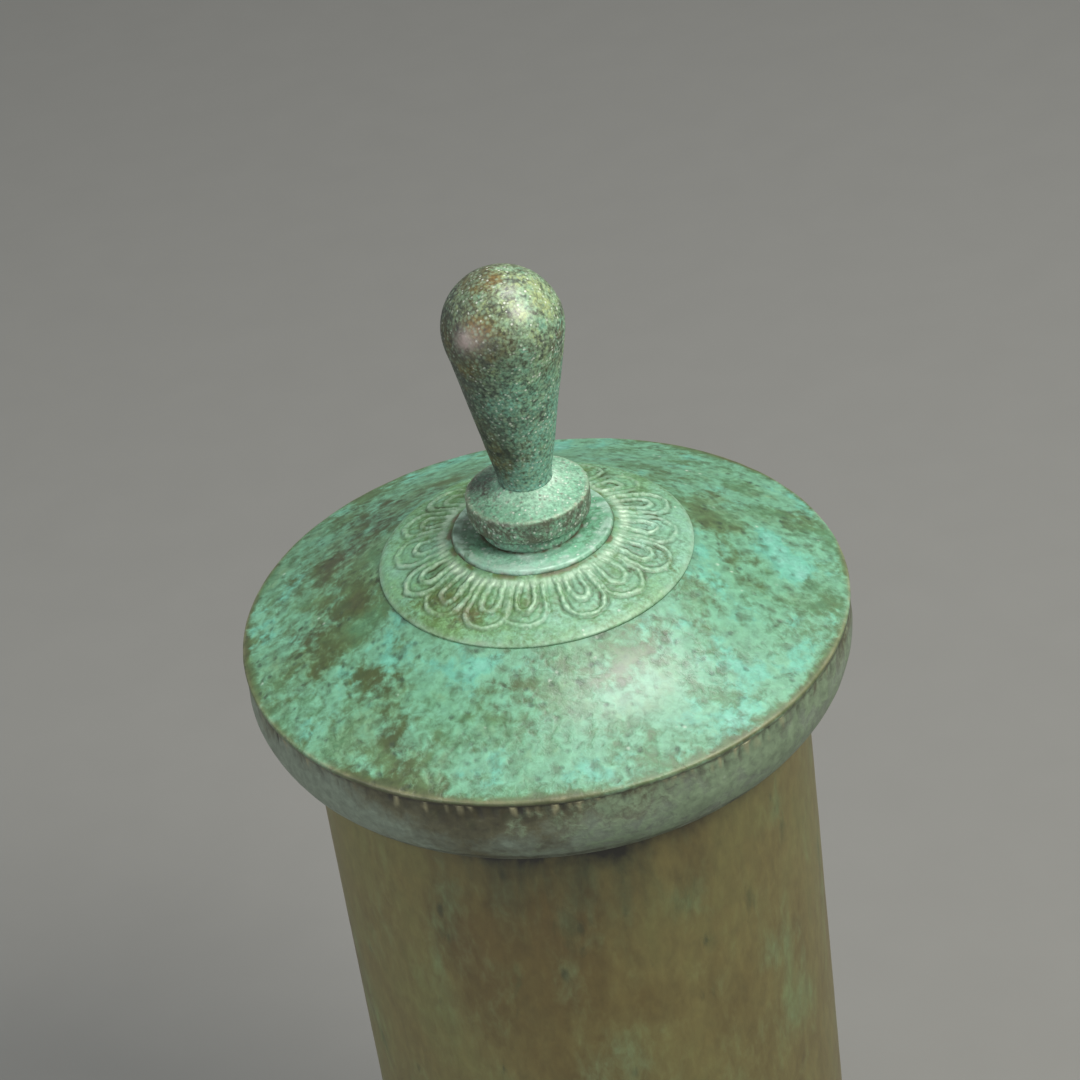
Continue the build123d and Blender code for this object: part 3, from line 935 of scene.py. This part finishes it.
class Collar(Operator):
    """Bowl-shaped collar on its narrower foot."""

    bl_idname = "bronze.collar"
    bl_label = "Collar"

    def execute(self, context):
        knob = context.scene.vessel_knob
        tenon, stem = knob.tenon, knob.stem
        wide, low, high = COLLAR_HIGH[0], COLLAR_LOW[2], COLLAR_HIGH[2]
        rim = low + knob.collar_rim_height
        under = rim - knob.collar_upright
        waist = low + knob.collar_foot_height
        groove = knob.collar_foot - knob.collar_groove
        outline = [(tenon, low)] + rounded((tenon, low), (knob.collar_foot, low), (groove, waist), 0.2 * MM)
        outline += [(groove, waist)] + bent((groove, waist), (wide, waist), (wide, under), steps=14)
        cove = (stem + knob.cove, rim + 0.35 * (high - rim))
        outline += rounded((wide, under), (wide, rim), cove, 0.4 * MM)
        outline += bent(outline[-1], cove, (stem, high), steps=20) + [(tenon, high), (tenon, low)]
        piece, _, out, tall, _ = turned("knob_bowl", spaced(outline, 0.3 * MM))
        outside = (out > stem + 0.2 * MM) * (tall > low + 0.2 * MM)
        _, out, tall, way = raised(piece, 0.14 * MM, "outside", outside, 1.2 * MM)
        upper = unit((tall - rim + 0.4 * MM) / (0.4 * MM))
        foot = unit(1 - (tall - low) / (2.6 * MM))
        side = np.cos(way - math.radians(320))
        salty = bell(out - stem, 2.6 * MM) * upper * unit(0.6 + 0.6 * side)
        crust = (0.22 + 0.1 * side) * upper - (0.08 - 0.08 * side) * (1 - upper)
        seams = 0.7 * band(tall, waist - 0.3 * MM, waist + 0.4 * MM, 0.3 * MM)
        seams += 0.5 * band(tall, 0, low + 0.1 * MM, 0.5 * MM)
        # Painted shade: the knob's shadow darkens the back left of the top
        painted_shade = facing(way, 145, 2) * upper * (out > stem + 1.2 * MM)
        finish(
            piece, "lid", "knob_collar", "knob_bronze", collar_patina(knob),
            crust=crust + 0.35 * foot + 0.25 * salty, blue=0.3 * salty, grime=seams + 0.4 * painted_shade,
            # The pale line round the rim's edge is wear and partly a painted edge highlight
            wear=0.4 * bell(np.hypot(out - wide, tall - rim), 0.5 * MM),
        )
        return {"FINISHED"}


class Knob(Operator):
    """Bud knob with its taper, its tenon and the hammered head inside the lid."""

    bl_idname = "bronze.knob"
    bl_label = "Knob"

    def execute(self, context):
        knob = context.scene.vessel_knob
        ball, stem, tenon, rivet = knob.head, knob.stem, knob.tenon, knob.rivet
        top, seat = KNOB_HIGH[2], COLLAR_HIGH[2]
        foot, end = WASHER_LOW[2], KNOB_LOW[2]
        middle = top - ball
        neck = seat + knob.stem_upright
        reach = math.hypot(stem, middle - neck)
        taper = math.asin(ball / reach) - math.atan(stem / (middle - neck))
        cheek = (ball * math.cos(taper), middle - ball * math.sin(taper))
        turns = np.linspace(math.pi / 2, -taper, 52)[1:]
        outline = [(0.0, top)] + [(ball * math.cos(t), middle + ball * math.sin(t)) for t in turns]
        outline += rounded(cheek, (stem, neck), (stem, seat), 0.6 * MM)
        outline = spaced(outline, 0.28 * MM) + [(stem, seat), (tenon, seat), (tenon, foot), (rivet, foot)]
        outline += bent((rivet, foot), (rivet, end), (0.0, end), steps=10)
        piece, _, _, tall, _ = turned("bud_knob", outline)
        place, _, tall, _ = raised(piece, 0.2 * MM, "outside", tall > seat + 0.3 * MM, 5 * MM)

        # Patches are in millimetres: the head's radius, and the heights of its middle, its top and the neck
        head, core, peak, root = [length / MM for length in (ball, middle, top, neck)]
        rub = (230, head * 0.96, core + 2.2, 1.7, 1.0)
        browns = (
            (243, head * 0.87, core + 4.2, 2, 0.4), (258, head * 0.23, peak - 0.2, 1.6, 0.35),
            (258, head, core + 1.4, 2.4, 0.25), (228, head, core - 2.5, 3, 0.2),
            (310, head, core - 3, 2.5, 0.2), (222, 5.5, root + 6, 5, 0.3), (285, 4.5, root + 3, 2.5, 0.16),
            (60, head, core, 4, 0.25), (140, 7, core - 8, 5, 0.2),
        )
        stains = (
            (248, 4.8, root + 6, 3.2, 0.45), (268, 6.5, root + 12, 2, 0.3), (259, head, core + 1.2, 2.4, 0.45),
            (264, head, core - 1.5, 2.2, 0.3),
        )
        polished = unit(blots(place, [(288, head * 0.72, core + head * 0.69, 5, 1.2), rub]))
        rough = (tall > seat + 0.3 * MM) * (1 - 0.8 * polished)
        place, _, tall, way = raised(piece, 0.05 * MM, "rough", rough, 0.6 * MM)
        above = (tall - seat) / (top - seat)
        inside = above < 0
        right = np.cos(way - math.radians(330))
        brown = blots(place, browns)
        crown = band(above, 0.88, 1, 0.16)
        crust = 0.3 * (0.5 - above) + 0.14 * right + 0.13 * crown
        # Painted shade: the knob's left side is darkened, less on the crown
        painted_shade = facing(way, 195, 2) * (1 - 0.5 * crown)
        finish(
            piece, "lid", "knob", "knob_bronze", knob_patina(knob),
            polish=polished, crust=crust - 0.45 * brown - 0.5 * inside,
            bare=brown + 0.1 * band(above, 0.85, 1, 0.2), blue=0.3 * (0.45 - above),
            wear=blots(place, [rub, (30, head * 0.95, core + 2, 2.5, 0.5)]),
            grime=0.4 * inside + 0.6 * painted_shade + blots(place, stains),
        )
        return {"FINISHED"}


class InnerPieces(Operator):
    """Plain turned pieces that show only with the lid off keep their CAD shape."""

    bl_idname = "bronze.inner_pieces"
    bl_label = "Inner pieces"

    def execute(self, context):
        oxide = inner_oxide(context.scene.vessel_body)
        for node in ("base_plate", "lid_locating_ring", "clench_washer"):
            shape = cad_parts[node]
            shape.data.materials.clear()
            shape.data.materials.append(oxide)
        return {"FINISHED"}


class Stage(Operator):
    """Pale floor, soft studio light and the camera."""

    bl_idname = "bronze.stage"
    bl_label = "Stage"

    def execute(self, context):
        stage = context.scene.vessel_stage
        bpy.ops.object.select_all(action="DESELECT")
        bpy.ops.mesh.primitive_plane_add(size=FLOOR_SIZE)
        floor = context.object
        floor.name = floor.data.name = "floor"
        floor.data.materials.append(stage_paper(stage))

        context.scene.view_settings.view_transform = "Standard"
        world = bpy.data.worlds.new("studio air")
        context.scene.world = world
        world.use_nodes = True
        air = world.node_tree.nodes["Background"].inputs
        air["Color"].default_value = stage.air
        air["Strength"].default_value = stage.air_strength

        aim = Vector((0, 0, LID_LOW[2] + AIM))
        for name, setting, way, reach, wide, tall, tint in LIGHTS:
            lamp = bpy.data.lights.new(name, "AREA")
            lamp.energy = getattr(stage, setting)
            lamp.shape = "RECTANGLE"
            lamp.size = wide
            lamp.size_y = tall
            lamp.color = linear(tint)[:3]
            holder = bpy.data.objects.new(name, lamp)
            context.collection.objects.link(holder)
            away = Vector(way).normalized()
            turn = away.to_track_quat("Z", "Y").to_matrix().to_4x4()
            holder.matrix_world = Matrix.Translation(aim + away * reach) @ turn

        camera = bpy.data.cameras.new("studio camera")
        camera.sensor_width = SENSOR_WIDTH
        camera.lens = stage.lens
        camera.clip_start = CLIP_START
        holder = bpy.data.objects.new("studio camera", camera)
        context.collection.objects.link(holder)
        holder.matrix_world = (
            Matrix.Translation(stage.camera_place)
            @ Matrix.Rotation(math.pi / 2 - stage.camera_pitch, 4, "X")
            @ Matrix.Rotation(stage.camera_roll, 4, "Z")
        )
        context.scene.camera = holder
        return {"FINISHED"}


class VesselPanel(Panel):
    """Buttons and sizes in the sidebar."""

    bl_idname = "VIEW3D_PT_bronze_vessel"
    bl_label = "Bronze vessel"
    bl_space_type = "VIEW_3D"
    bl_region_type = "UI"
    bl_category = "Bronze"

    def draw(self, context):
        for step in STEPS:
            self.layout.operator(step.bl_idname)
        for name, group in SETTINGS.items():
            box = self.layout.box()
            box.label(text=group.__doc__)
            for key in group.__annotations__:
                box.prop(getattr(context.scene, name), key)


STEPS = (BodyTube, FootRing, Lid, Rosette, Boss, Collar, Knob, InnerPieces, Stage)


def register():
    for name, group in SETTINGS.items():
        bpy.utils.register_class(group)
        setattr(bpy.types.Scene, name, PointerProperty(type=group))
    for step in STEPS + (VesselPanel,):
        bpy.utils.register_class(step)


def unregister():
    for step in reversed(STEPS + (VesselPanel,)):
        bpy.utils.unregister_class(step)
    for name, group in SETTINGS.items():
        delattr(bpy.types.Scene, name)
        bpy.utils.unregister_class(group)


def main():
    register()
    bpy.ops.bronze.body_tube()
    bpy.ops.bronze.foot_ring()
    bpy.ops.bronze.lid()
    bpy.ops.bronze.rosette()
    bpy.ops.bronze.boss()
    bpy.ops.bronze.collar()
    bpy.ops.bronze.knob()
    bpy.ops.bronze.inner_pieces()
    bpy.ops.bronze.stage()


if __name__ == "__main__":
    main()
